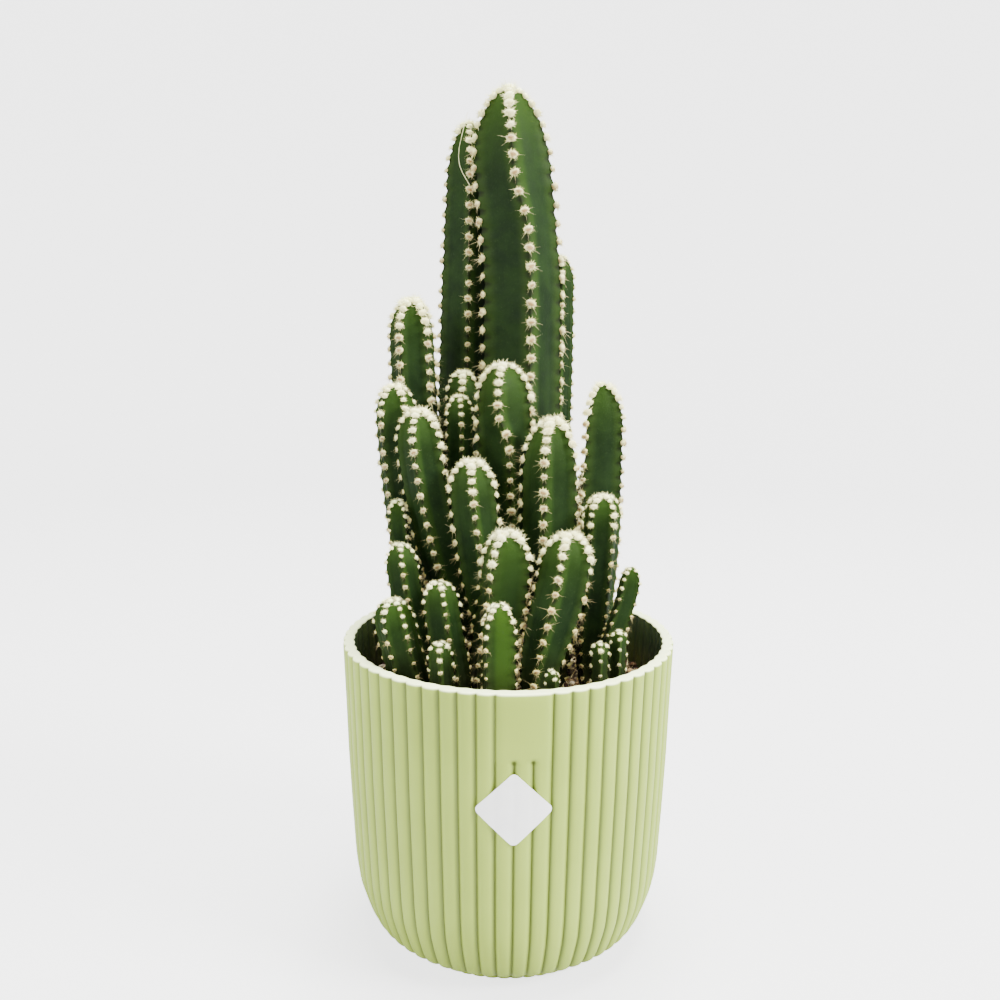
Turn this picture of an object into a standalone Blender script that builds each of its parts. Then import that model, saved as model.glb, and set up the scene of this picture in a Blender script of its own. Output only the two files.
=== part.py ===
"""Fairy-castle cactus (florida cereus) with its soil and its ribbed plastic pot.

The origin is the middle of the pot's underside, +Z is up, and the front of the pot faces -Y.
Lengths are written in millimetres and MM turns them into Blender's metres. Angles are degrees
about +Z, where 0 points to the front (-Y) and positive turns to the right (+X).
"""

import math
import random
from collections import namedtuple

import bmesh
import bpy
import numpy as np
from mathutils import Vector

MM = 0.001
FIT_GAP = 0.3

# The pot
RIM_HEIGHT = 101.5
RIM_RADIUS = 55.0
RIM_INNER_RADIUS = 51.3
POT_RIBS = 60
POT_RIB_PITCH = 360.0 / POT_RIBS
FIRST_GROOVE = -3.95
GROOVE_DEPTH = 1.3
PANEL_RIBS = 3
PANEL_FOOT = 81.0
# Height, radius over the ribs and depth of the grooves, from the rim down to the foot
POT_OUTSIDE = (
    (RIM_HEIGHT, RIM_RADIUS, GROOVE_DEPTH),
    (PANEL_FOOT + 1.0, 54.4, GROOVE_DEPTH),
    (PANEL_FOOT - 1.0, 54.35, GROOVE_DEPTH),
    (28.0, 52.4, GROOVE_DEPTH),
    (19.0, 51.3, GROOVE_DEPTH),
    (9.6, 48.3, GROOVE_DEPTH),
    (4.6, 45.0, 1.1),
    (4.2, 41.2, 0.9),
    (0.0, 39.4, 0.9),
)
# Height and radius of the plain inner wall, from the rim down to the floor
POT_INSIDE = (
    (RIM_HEIGHT, RIM_INNER_RADIUS),
    (84.0, 50.4),
    (30.0, 49.2),
    (14.0, 46.4),
    (7.0, 42.0),
)
# The hollow inside the foot ring, from the resting face up
FOOT_HOLLOW = ((0.0, 36.4), (2.4, 36.0))
# Where the three points of each rib lie, as shares of the pitch: its groove, then its two shoulders
RIB_SHARES = (0.0, 0.27, 0.73)

# The soil
SOIL_TOP = 84.0
SOIL_SIDES = 40
SOIL_RINGS = (12.0, 32.0)
SOIL_BUMP = 0.4
HOLE_DEPTH = 6.0
HOLE_SIDES = 6
HOLE_CLEARANCE = 0.4

# The white sticker, a square set on its corner
LABEL_SIDE = 17.0
LABEL_THICKNESS = 0.3
LABEL_CENTRE = 65.6
LABEL_TURN = 2.1
LABEL_CELLS = 6
LABEL_CORNER = 0.82
LABEL_CORNER_ZONE = 0.99

# The stems' ribs
RIB_TOOTH = 13.0
TIP_TOOTH_SHARE = 0.4
LAST_TOOTH = 1.4
TOOTH_DEPTH = 0.09
VALLEY = {3: 0.50, 4: 0.62, 5: 0.70, 6: 0.76}
CROWN_HEIGHT = 3.0
CROWN_SHARE = 0.1
CROWN_MOST = 0.4
PLUG_RISE = 0.8
TWIST_START = 0.77
TWIST_SPAN = 0.09
TAPER_REACH = 4.5

# The spines
SPINE_LENGTH = 3.8
SPINE_WIDTH = 0.8
SPINE_CLEARANCE = 0.45
SPINE_SPACING = 0.9
SPINE_SAMPLES = 6
SPINE_LEAST_GIRTH = 2.2
SPINE_REACH = 54.4
SPINE_SOIL_MARGIN = 5.0
SPINE_SEED = 27
SPINE_UP_SHARE = 0.65
SPINE_UP = (0.1, 0.9)
SPINE_DOWN = (-0.6, 0.0)
SPINE_ASIDE = 0.45
SPINE_CLEAR_FROM = 0.35

# One row a stem. foot and tip are where its middle leaves the soil and ends; girth is its radius
# over the ribs; dome is the tip's length in girths; reach is how far down from the tip the stem
# leans; taper narrows the top; twist turns the ribs near the top; base is the girth at the soil
# as a share, and neck the share of the height over which the stem swells from it.
Stem = namedtuple(
    "Stem",
    "foot tip height girth ribs turn dome reach taper twist base neck",
    defaults=(1.8, 1.0, 0.1, 0.0, 0.6, 0.32),
)
STEMS = {
    "stem_tallest": Stem((4.2, 25), (-0.9, 27), 280.5, 14.5, 4, 11, 1.75, reach=0.35, taper=0.12, twist=-11),
    "stem_tall_left": Stem((-16.5, 35), (-14.5, 36.5), 271.5, 10.8, 4, 4, 1.7, reach=0.8, taper=0.35),
    "stem_tall_slim": Stem((15.5, 37), (17, 38), 227.5, 6.1, 5, 10, 1.6),
    "stem_left_rear": Stem((-27.6, 19.4), (-33.4, 20), 212, 8.8, 5, -27, 1.45),
    "stem_left_outer": Stem((-29.3, 4.2), (-37.5, 3), 184.5, 7.8, 5, -36, 1.35),
    "stem_left_leaning": Stem((-14.7, -2), (-28.5, -9), 177.5, 8.5, 5, -14, 1.3, base=0.5, neck=0.6),
    "stem_inner_left": Stem((-13, 18.5), (-16, 20), 188, 6.5, 5, 0, 1.4, base=0.55),
    "stem_inner_slim": Stem((-15.5, 7.6), (-16.6, 6.6), 181, 5.2, 5, 10, 1.4, base=0.55, neck=0.5),
    "stem_middle": Stem((1.5, 3), (-2, 2.5), 191.5, 10, 4, 8, 1.3, twist=-20, base=0.55),
    "stem_right_middle": Stem((13.4, -6.8), (13.4, -9), 175, 10.4, 5, -16, 1.7),
    "stem_three_ribbed": Stem((28.2, 7), (30.4, 8), 185, 8.8, 3, -46, 1.6, taper=0.15, base=0.5, neck=0.7),
    "stem_front_leaning": Stem((-3, -10), (-11.8, -14.5), 162.5, 8.4, 5, 2, 1.25, base=0.55, neck=0.62),
    "stem_front_middle": Stem((-5.8, -23.8), (-0.3, -26.5), 142.5, 9.2, 4, -31, 1.35, taper=0.05),
    "stem_front_right": Stem(
        (8.1, -32), (18.3, -27.2), 142, 8.9, 5, -16, 1.1, taper=0.05, base=0.32, neck=0.65
    ),
    "stem_right_front": Stem((27.4, -11.2), (29.7, -13.5), 151.5, 6.5, 5, 31, 1.1, reach=0.8, taper=0.05),
    "stem_right_slim": Stem((31.2, -21.5), (38.3, -20), 130, 4.2, 4, -40, 1.4, reach=0.75, taper=0.05),
    "stem_left_low": Stem((-26.2, -16.2), (-34, -17.5), 136.5, 5.7, 5, 8, 1.3, taper=0.05),
    "stem_left_slim": Stem((-29.3, -7.2), (-35.8, -8.6), 148.5, 4.25, 4, -45, 1.5, taper=0.05),
    "stem_left_edge": Stem((-29.5, -27.5), (-35.5, -28), 121.5, 6.5, 6, -24, 1.2, taper=0.0),
    "stem_front_low": Stem((-16, -28.2), (-21, -29.5), 127.5, 6, 5, 16, 1.15, taper=0.0),
    "stem_front_lowest": Stem((-2.6, -41), (-2.6, -41), 124, 6.5, 4, -37, 1.7, taper=0.0),
    "sprout_left": Stem((-19, -39), (-20.2, -39), 111.5, 4, 5, 0, 1.2, taper=0.0),
    "sprout_right": Stem((28, -32), (28, -32), 109.5, 2.8, 4, 0, 1.2, taper=0.0),
    "sprout_right_outer": Stem((33.9, -27.8), (34.2, -27.8), 111.8, 2.6, 4, 0, 1.2, taper=0.0),
    "sprout_front": Stem((14.5, -42.5), (13, -42.7), 104.3, 2.4, 4, 20, 1.2, taper=0.0),
    "stem_rear_right": Stem((31, 22), (33, 24), 172, 6, 4, 40, 2),
    "stem_rear_middle": Stem((-1, 44.5), (-0.5, 45.5), 196, 4.3, 5, 10, 2),
    "stem_rear_left": Stem((-29.3, 31), (-32, 32.5), 175, 4.5, 4, 50, 2),
    "stem_rear_outer": Stem((26.5, 33), (29, 34.5), 154, 5.2, 5, 30, 2),
    "stem_inner_right": Stem((18, 10), (18.5, 10), 160, 5.6, 4, 30, 2),
    "stem_rear_low": Stem((8, 44), (9.5, 45.5), 134, 3.6, 4, 0, 2),
    "stem_rear_edge": Stem((-37, 23), (-40.5, 26), 140, 3.5, 4, 60, 2),
    "sprout_right_rear": Stem((38, 17), (41, 19), 116, 3.2, 4, 60, 2),
}

# Colour, roughness
POT_LOOK = ((0.60, 0.65, 0.38), 0.45)
SOIL_LOOK = ((0.035, 0.024, 0.016), 0.95)
LABEL_LOOK = ((0.88, 0.88, 0.86), 0.5)
STEM_LOOK = ((0.055, 0.105, 0.035), 0.55)


def clear_scene():
    for thing in list(bpy.data.objects):
        bpy.data.objects.remove(thing, do_unlink=True)


def new_collection(name):
    collection = bpy.data.collections.new(name)
    bpy.context.scene.collection.children.link(collection)
    return collection


def make_material(name, look):
    colour, roughness = look
    material = bpy.data.materials.new(name)
    material.use_nodes = True
    shader = material.node_tree.nodes["Principled BSDF"]
    shader.inputs["Base Color"].default_value = (*colour, 1.0)
    shader.inputs["Roughness"].default_value = roughness
    shader.inputs["Metallic"].default_value = 0.0
    return material


def finish(bm, name, material, collection, smooth_below=None):
    """Turns a bmesh in millimetres into a named object in metres, with its faces pointing out."""
    bmesh.ops.recalc_face_normals(bm, faces=bm.faces)
    bmesh.ops.scale(bm, vec=(MM, MM, MM), verts=bm.verts)
    mesh = bpy.data.meshes.new(name)
    bm.to_mesh(mesh)
    bm.free()
    mesh.materials.append(material)
    if smooth_below is not None:
        mesh.shade_smooth()
        mesh.set_sharp_from_angle(angle=math.radians(smooth_below))
    thing = bpy.data.objects.new(name, mesh)
    collection.objects.link(thing)
    return thing


def toward(angle, radius):
    """The point at this radius from the axis in the direction of angle."""
    return radius * math.sin(math.radians(angle)), -radius * math.cos(math.radians(angle))


def circle(bm, radius, z, count, turn=0.0):
    return [bm.verts.new((*toward(turn + 360.0 * k / count, radius), z)) for k in range(count)]


def join_rings(bm, upper, lower):
    """Quads between two rings of equal count."""
    count = len(upper)
    for k in range(count):
        after = (k + 1) % count
        bm.faces.new((upper[k], upper[after], lower[after], lower[k]))


def join_ribbed_to_plain(bm, ribbed, plain):
    """One face a rib, between a ring with three points a rib and a plain ring with one."""
    for rib in range(len(plain)):
        after = (rib + 1) % len(plain)
        outer = [ribbed[3 * rib], ribbed[3 * rib + 1], ribbed[3 * rib + 2], ribbed[3 * after]]
        bm.faces.new(outer + [plain[after], plain[rib]])


def pot_ring(bm, z, radius, depth):
    """A ring round the ribs. Above the panel's foot the grooves that would cross it are left out."""
    ring = []
    for rib in range(POT_RIBS):
        in_panel = 1 <= rib < PANEL_RIBS and z > PANEL_FOOT
        for share in RIB_SHARES:
            angle = FIRST_GROOVE + (rib + share) * POT_RIB_PITCH
            cut = depth if share == 0.0 and not in_panel else 0.0
            ring.append(bm.verts.new((*toward(angle, radius - cut), z)))
    return ring


def make_pot(collection):
    bm = bmesh.new()
    outside = [pot_ring(bm, *row) for row in POT_OUTSIDE]
    inside = [circle(bm, radius, z, POT_RIBS, FIRST_GROOVE) for z, radius in POT_INSIDE]
    hollow = [circle(bm, radius, z, POT_RIBS, FIRST_GROOVE) for z, radius in FOOT_HOLLOW]
    for rings in (outside, inside, hollow):
        for upper, lower in zip(rings, rings[1:]):
            join_rings(bm, upper, lower)
    join_ribbed_to_plain(bm, outside[0], inside[0])
    join_ribbed_to_plain(bm, outside[-1], hollow[0])
    bm.faces.new(inside[-1])
    bm.faces.new(hollow[-1])
    finish(bm, "pot", make_material("pot_plastic", POT_LOOK), collection, 25)


def pot_inner_radius(z):
    heights = [row[0] for row in reversed(POT_INSIDE)]
    radii = [row[1] for row in reversed(POT_INSIDE)]
    return float(np.interp(z, heights, radii))


def plug_radius(z):
    """The soil's radius: clear of the flat facets of the pot's inner wall."""
    return pot_inner_radius(z) * math.cos(math.pi / POT_RIBS) - FIT_GAP


def soil_height(x, y):
    """The gently uneven top of the soil."""
    wave = math.sin(0.31 * x + 0.8) * math.cos(0.27 * y - 0.4) + 0.5 * math.sin(0.55 * x - 0.48 * y)
    return SOIL_TOP + SOIL_BUMP * wave / 1.5


def make_hole_cutters(material, collection):
    """A six-sided post where each stem stands, wide enough for its plug."""
    for name, stem in STEMS.items():
        radius = (stem.girth * stem.base + HOLE_CLEARANCE) / math.cos(math.pi / HOLE_SIDES)
        bm = bmesh.new()
        bmesh.ops.create_cone(
            bm, cap_ends=True, segments=HOLE_SIDES, radius1=radius, radius2=radius, depth=2 * HOLE_DEPTH
        )
        bmesh.ops.translate(bm, verts=bm.verts, vec=(*stem.foot, SOIL_TOP))
        cutter = finish(bm, "hole_" + name, material, collection)
        cutter.hide_render = True
        cutter.display_type = "WIRE"


def cut_holes(thing, collection):
    cut = thing.modifiers.new("holes", "BOOLEAN")
    cut.operation = "DIFFERENCE"
    cut.operand_type = "COLLECTION"
    cut.collection = collection
    bpy.context.view_layer.update()
    evaluated = thing.evaluated_get(bpy.context.evaluated_depsgraph_get())
    holed = bpy.data.meshes.new_from_object(evaluated)
    thing.modifiers.clear()
    plain = thing.data
    thing.data = holed
    bpy.data.meshes.remove(plain)
    for cutter in list(collection.objects):
        bpy.data.objects.remove(cutter, do_unlink=True)


def make_soil(collection, cutter_collection):
    """A plug that fills the pot up to 0.3 mm from its wall, with a plain hole for each stem."""
    bm = bmesh.new()
    rings = [circle(bm, radius, SOIL_TOP, SOIL_SIDES) for radius in SOIL_RINGS]
    for z in (SOIL_TOP, POT_INSIDE[2][0], POT_INSIDE[3][0], POT_INSIDE[4][0] + FIT_GAP):
        rings.append(circle(bm, plug_radius(z), z, SOIL_SIDES))
    for vertex in [v for ring in rings[: len(SOIL_RINGS)] for v in ring]:
        vertex.co.z = soil_height(vertex.co.x, vertex.co.y)
    for upper, lower in zip(rings, rings[1:]):
        join_rings(bm, upper, lower)
    middle = bm.faces.new(rings[0])
    bm.faces.new(rings[-1])
    bmesh.ops.poke(bm, faces=[middle])
    soil = finish(bm, "soil", make_material("soil_mix", SOIL_LOOK), collection)
    make_hole_cutters(soil.data.materials[0], cutter_collection)
    cut_holes(soil, cutter_collection)


def pot_outer_radius(z):
    heights = [row[0] for row in reversed(POT_OUTSIDE)]
    radii = [row[1] for row in reversed(POT_OUTSIDE)]
    return float(np.interp(z, heights, radii))


def make_label(collection):
    """The sticker: a square sheet turned onto its corner, then bent round the ribs."""
    bm = bmesh.new()
    bmesh.ops.create_grid(bm, x_segments=LABEL_CELLS, y_segments=LABEL_CELLS, size=LABEL_SIDE / 2)
    corner_reach = LABEL_SIDE / 2 * math.sqrt(2) * LABEL_CORNER_ZONE
    for vertex in bm.verts:
        x, y = vertex.co.x, vertex.co.y
        across, up = (x - y) / math.sqrt(2), (x + y) / math.sqrt(2)
        if max(abs(across), abs(up)) > corner_reach:
            across, up = across * LABEL_CORNER, up * LABEL_CORNER
        z = LABEL_CENTRE + up
        radius = pot_outer_radius(z) + FIT_GAP + LABEL_THICKNESS / 2
        vertex.co = (*toward(LABEL_TURN + math.degrees(across / radius), radius), z)
    label = finish(bm, "label", make_material("label_paper", LABEL_LOOK), collection)
    thicken = label.modifiers.new("thickness", "SOLIDIFY")
    thicken.thickness = LABEL_THICKNESS * MM
    thicken.offset = 0.0


def stem_axis(stem, share):
    """The middle of the stem at this share of its height above the soil, in an S between foot and tip."""
    lean = min(max((1.0 - share) / stem.reach, 0.0), 1.0)
    back = lean * lean * (3.0 - 2.0 * lean)
    x = stem.tip[0] + (stem.foot[0] - stem.tip[0]) * back
    y = stem.tip[1] + (stem.foot[1] - stem.tip[1]) * back
    return Vector((x, y, SOIL_TOP + (stem.height - SOIL_TOP) * share))


def stem_turn(stem, share):
    step = min(max((share - TWIST_START) / TWIST_SPAN, 0.0), 1.0)
    return stem.turn + stem.twist * step * step * (3.0 - 2.0 * step)


def crown_height(stem):
    """How far the crown's wool stands over the tip of the skin."""
    return min(CROWN_HEIGHT, CROWN_MOST * stem.girth)


def dome_length(stem):
    """The height of the round end, from the top of the wool down."""
    return stem.dome * stem.girth + crown_height(stem)


def stem_girth(stem, share):
    """The radius over the ribs: a round dome with its wool, a slight taper, and a narrow foot."""
    below_tip = (stem.height - SOIL_TOP) * (1.0 - share)
    dome = min(max((below_tip + crown_height(stem)) / dome_length(stem), 0.0), 1.0)
    rounding = math.sqrt(1.0 - (1.0 - dome) ** 2)
    taper = 1.0 - stem.taper * math.exp(-below_tip / (TAPER_REACH * stem.girth))
    swelling = math.sin(min(share / stem.neck, 1.0) * math.pi / 2)
    return stem.girth * rounding * taper * (stem.base + (1.0 - stem.base) * swelling)


def share_at(stem, z):
    return min(max((z - SOIL_TOP) / (stem.height - SOIL_TOP), 0.0), 1.0)


def star(bm, centre, girth, ribs, turn, notch=0.0):
    """A ring of crests and valleys; notch lowers the crests between two areoles."""
    ring = []
    for k in range(2 * ribs):
        radius = girth * (1.0 - notch) if k % 2 == 0 else girth * VALLEY[ribs]
        x, y = toward(turn + 180.0 * k / ribs, radius)
        ring.append(bm.verts.new((centre.x + x, centre.y + y, centre.z)))
    return ring


def tooth_levels(stem):
    """Distances below the top of the crown, half a tooth apart and closer near the top."""
    lowest = stem.height + crown_height(stem) - SOIL_TOP - PLUG_RISE
    levels = [CROWN_SHARE * dome_length(stem)]
    while True:
        grown = min(levels[-1] / dome_length(stem), 1.0)
        step = RIB_TOOTH / 2 * (TIP_TOOTH_SHARE + (1.0 - TIP_TOOTH_SHARE) * grown)
        if levels[-1] + LAST_TOOTH * step > lowest:
            return levels
        levels.append(levels[-1] + step)


def stem_body(bm, stem):
    """Lofts the stem from its crown to its plug, and returns its areole crests with their heights."""
    length = stem.height - SOIL_TOP
    areoles = []
    rings = []
    for number, below_crown in enumerate(tooth_levels(stem)):
        share = 1.0 - (below_crown - crown_height(stem)) / length
        girth = stem_girth(stem, share)
        has_areoles = number % 2 == 0
        notch = 0.0 if has_areoles else TOOTH_DEPTH * min(below_crown / dome_length(stem), 1.0)
        ring = star(bm, stem_axis(stem, share), girth, stem.ribs, stem_turn(stem, share), notch)
        rings.append(ring)
        if has_areoles and number > 0 and girth > SPINE_LEAST_GIRTH:
            areoles.append((number // 2, ring[::2]))
    plug = stem_girth(stem, 0.0)
    foot = stem_axis(stem, 0.0)
    for z in (SOIL_TOP + PLUG_RISE, SOIL_TOP - HOLE_DEPTH + FIT_GAP):
        rings.append(star(bm, Vector((foot.x, foot.y, z)), plug, stem.ribs, stem.turn))
    for upper, lower in zip(rings, rings[1:]):
        join_rings(bm, upper, lower)
    bm.faces.new(rings[-1])
    crown = bm.faces.new(rings[0])
    apex = bmesh.ops.poke(bm, faces=[crown])["verts"][0]
    apex.co = stem_axis(stem, 1.0) + Vector((0.0, 0.0, crown_height(stem)))
    return areoles


def spine_is_clear(name, points, placed):
    """Whether a spine stays off the other stems, the pot, the soil and the spines already placed."""
    for x, y, z in points:
        outer = SPINE_REACH if z > RIM_HEIGHT + 1.0 else pot_inner_radius(max(z, SOIL_TOP)) - SPINE_CLEARANCE
        if math.hypot(x, y) > outer or z < SOIL_TOP + SPINE_SOIL_MARGIN:
            return False
        for other, stem in STEMS.items():
            if other == name or z > stem.height + CROWN_HEIGHT:
                continue
            share = share_at(stem, z)
            middle = stem_axis(stem, share)
            if math.hypot(x - middle.x, y - middle.y) < stem_girth(stem, share) + SPINE_CLEARANCE:
                return False
    if not placed:
        return True
    apart = np.linalg.norm(np.array(placed)[:, None] - points[None], axis=-1)
    return float(apart.min()) > SPINE_SPACING


def spine_direction(stem, root, draw):
    """Outward from the stem's middle, tilted up or down and a little to one side."""
    middle = stem_axis(stem, share_at(stem, root.z))
    outward = Vector((root.x - middle.x, root.y - middle.y, 0.0)).normalized()
    aside = Vector((-outward.y, outward.x, 0.0))
    rise = draw.uniform(*SPINE_UP) if draw.random() < SPINE_UP_SHARE else draw.uniform(*SPINE_DOWN)
    sway = draw.uniform(-SPINE_ASIDE, SPINE_ASIDE)
    return (outward + aside * sway + Vector((0.0, 0.0, rise))).normalized()


def raise_spines(bm, name, stem, areoles, placed, draw):
    """Cuts every second crest's corner to a small face and draws the middle of that face out to a spine."""
    chosen = []
    for tooth, crests in areoles:
        for rib, vertex in enumerate(crests):
            if (tooth + rib) % 2:
                continue
            root = vertex.co.copy()
            direction = spine_direction(stem, root, draw)
            steps = np.linspace(SPINE_CLEAR_FROM, 1.0, SPINE_SAMPLES)[:, None] * SPINE_LENGTH
            points = np.array(root)[None] + steps * np.array(direction)[None]
            if spine_is_clear(name, points, placed):
                placed.extend(points)
                chosen.append((vertex, root + direction * SPINE_LENGTH))
    for vertex, tip in chosen:
        root = vertex.co.copy()
        made = bmesh.ops.bevel(
            bm, geom=[vertex], offset=SPINE_WIDTH / 2, segments=1, profile=0.5, affect="VERTICES"
        )
        face = min(made["faces"], key=lambda f: (f.calc_center_median() - root).length)
        point = bmesh.ops.poke(bm, faces=[face])["verts"][0]
        point.co = tip


def make_stems(collection):
    material = make_material("stem_skin", STEM_LOOK)
    draw = random.Random(SPINE_SEED)
    placed = []
    for name, stem in STEMS.items():
        bm = bmesh.new()
        areoles = stem_body(bm, stem)
        raise_spines(bm, name, stem, areoles, placed, draw)
        finish(bm, name, material, collection, 20)


def main():
    clear_scene()
    plant = new_collection("potted_cactus")
    holes = new_collection("holes")
    make_pot(plant)
    make_soil(plant, holes)
    make_label(plant)
    make_stems(plant)


main()
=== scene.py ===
import math
import random

import bmesh
import bpy
import numpy as np
from mathutils import Matrix, Vector, noise


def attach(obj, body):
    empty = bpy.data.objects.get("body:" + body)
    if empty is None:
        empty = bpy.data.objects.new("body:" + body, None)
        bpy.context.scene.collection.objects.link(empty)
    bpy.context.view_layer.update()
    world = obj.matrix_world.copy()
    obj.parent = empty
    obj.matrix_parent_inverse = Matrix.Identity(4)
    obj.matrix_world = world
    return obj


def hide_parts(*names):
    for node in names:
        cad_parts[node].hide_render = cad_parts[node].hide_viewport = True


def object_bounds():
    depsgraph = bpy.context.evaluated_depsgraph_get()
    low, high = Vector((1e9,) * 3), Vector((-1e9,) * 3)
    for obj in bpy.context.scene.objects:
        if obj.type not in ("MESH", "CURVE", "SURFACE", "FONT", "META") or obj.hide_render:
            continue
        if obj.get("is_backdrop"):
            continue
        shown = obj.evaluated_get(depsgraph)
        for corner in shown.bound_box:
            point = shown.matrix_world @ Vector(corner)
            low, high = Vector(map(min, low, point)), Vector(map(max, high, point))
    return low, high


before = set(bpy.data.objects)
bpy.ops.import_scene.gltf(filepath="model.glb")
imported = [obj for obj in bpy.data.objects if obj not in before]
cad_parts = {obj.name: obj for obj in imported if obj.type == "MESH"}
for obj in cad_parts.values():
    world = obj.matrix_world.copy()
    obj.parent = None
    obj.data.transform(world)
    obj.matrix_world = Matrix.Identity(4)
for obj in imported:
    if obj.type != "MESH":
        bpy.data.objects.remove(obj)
cad_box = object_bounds()

# The plant pot
# The real pot is moulded in one piece from pale yellow-green plastic: a round wall with sixty convex ribs, a flat
# rim with its top painted paler as a painted highlight, a smooth panel three ribs wide under the rim at the front,
# and a low ribbed foot ring.
# Lengths are millimetres, and angles are degrees about +Z from the front (-Y) toward the right (+X).
MM = 0.001
RIM_HEIGHT = 101.5
RIM_RADIUS = 54.97
RIM_INNER_RADIUS = 51.3
RIM_EDGE = 0.55
POT_RIBS = 60
RIB_PITCH = 360.0 / POT_RIBS
FIRST_GROOVE = -3.95
GROOVE_DEPTH = 1.9
RIB_ROUNDNESS = 2.7
LINING_RIPPLE = 0.2
PANEL_RIBS = 3
PANEL_FOOT = 80.4
PIT_DEPTH = 0.7
PIT_SIZE = 1.0
PANEL_SQUARENESS = 11.0
STEPS_PER_RIB = 8
# Inside this radius the floor and the underside stay plain, and under this height nothing is lining
PLAIN_RADIUS = 30.0
LINING_FOOT = 6.0
# Between these radii the grooves fade out inward, under the foot ring and on the flat rim
FOOT_FADE = (37.6, 39.2)
RIM_FADE = (52.4, 54.2)
FOOT_TOP = 5.2
# Between these heights the grooves grow to their full depth, so that they are shallower at the resting face
DEPTH_FADE = (-8.0, 9.0)
# Height and radius over the ribs, from the rim down, then under the bowl to the foot ring
POT_WALL = (
    (100.9, 54.97), (93.7, 54.75), (81.0, 54.37), (64.0, 53.95), (46.0, 53.2), (37.0, 52.75), (28.0, 52.3),
    (23.5, 51.85), (19.0, 51.2), (14.4, 49.9), (9.6, 48.2), (6.4, 46.6), (5.0, 45.3), (4.5, 43.9), (4.3, 42.4),
    (4.1, 41.5), (3.4, 40.8), (2.0, 40.1), (0.35, 39.5),
)
POT_LINING = ((84.0, 50.45), (60.0, 50.0), (30.0, 49.3), (20.0, 48.2), (14.0, 46.5), (9.0, 43.9), (7.0, 41.0))
FOOT_HOLLOW = ((0.0, 39.1), (0.0, 36.6), (0.3, 36.4), (2.1, 36.1), (2.4, 35.7))


def toward(angle, radius):
    """The point at this radius from the pot's axis in the direction of angle."""
    return radius * math.sin(math.radians(angle)), -radius * math.cos(math.radians(angle))


def angle_of(point):
    """The angle about the pot's axis at which a point lies."""
    return math.degrees(math.atan2(point.x, -point.y))


def ease(value, low, high):
    """0 below low, 1 above high and smooth between them."""
    share = min(max((value - low) / (high - low), 0.0), 1.0)
    return share * share * (3.0 - 2.0 * share)


def smooth_line(points, pieces):
    """A Catmull-Rom line through (height, radius) points, with this many pieces between each two."""
    ends = [points[0], *points, points[-1]]
    line = []
    for a, b, c, d in zip(ends, ends[1:], ends[2:], ends[3:]):
        for k in range(pieces):
            t = k / pieces
            line.append(tuple(
                0.5 * (2 * q + (r - p) * t + (2 * p - 5 * q + 4 * r - s) * t * t + (3 * q - p - 3 * r + s) * t ** 3)
                for p, q, r, s in zip(a, b, c, d)
            ))
    return [*line, points[-1]]


def turned(profile, steps):
    """A bmesh spun about +Z from (height, radius) points; points on the axis become poles."""
    bm = bmesh.new()
    line = [bm.verts.new((0.0, -radius, height)) for height, radius in profile]
    edges = [bm.edges.new(pair) for pair in zip(line, line[1:])]
    bmesh.ops.spin(
        bm, geom=line + edges, cent=(0, 0, 0), axis=(0, 0, 1), angle=2 * math.pi, steps=steps, use_merge=True
    )
    bmesh.ops.remove_doubles(bm, verts=bm.verts, dist=1e-4)
    bmesh.ops.recalc_face_normals(bm, faces=bm.faces)
    return bm


def finish(bm, name, materials, sharp=None):
    """Turns a bmesh in millimetres into a smooth-shaded object in metres at the origin."""
    bmesh.ops.scale(bm, vec=(MM, MM, MM), verts=bm.verts)
    mesh = bpy.data.meshes.new(name)
    bm.to_mesh(mesh)
    bm.free()
    for material in materials:
        mesh.materials.append(material)
    mesh.shade_smooth()
    if sharp is not None:
        mesh.set_sharp_from_angle(angle=math.radians(sharp))
    thing = bpy.data.objects.new(name, mesh)
    bpy.context.scene.collection.objects.link(thing)
    return thing


def new_material(name, roughness):
    """A material with its node tree and its Principled shader."""
    material = bpy.data.materials.new(name)
    material.use_nodes = True
    tree = material.node_tree
    shader = tree.nodes["Principled BSDF"]
    shader.inputs["Roughness"].default_value = roughness
    return material, tree, shader


def add(tree, kind, settings=None, **inputs):
    """A node of this kind; settings are its properties, and inputs its sockets by name."""
    made = tree.nodes.new(kind)
    for key, value in (settings or {}).items():
        setattr(made, key, value)
    for key, value in inputs.items():
        made.inputs[key.replace("_", " ")].default_value = value
    return made


def colour_mix(tree, factor, first, second):
    """Mixes two colours, each a socket or an RGB triple, by a factor that is a socket or a number."""
    mix = add(tree, "ShaderNodeMix", {"data_type": "RGBA"})
    for socket, value in ((mix.inputs[0], factor), (mix.inputs[6], first), (mix.inputs[7], second)):
        if isinstance(value, bpy.types.NodeSocket):
            tree.links.new(value, socket)
        elif isinstance(value, tuple):
            socket.default_value = (*value, 1.0)
        else:
            socket.default_value = value
    return mix.outputs[2]


def bend_range(tree, value, low, high, to_low=0.0, to_high=1.0):
    """Maps a value between low and high onto another range, smoothly."""
    spread = add(tree, "ShaderNodeMapRange", {"interpolation_type": "SMOOTHSTEP"})
    for socket, number in zip(spread.inputs[1:5], (low, high, to_low, to_high)):
        socket.default_value = number
    tree.links.new(value, spread.inputs[0])
    return spread.outputs[0]


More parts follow.
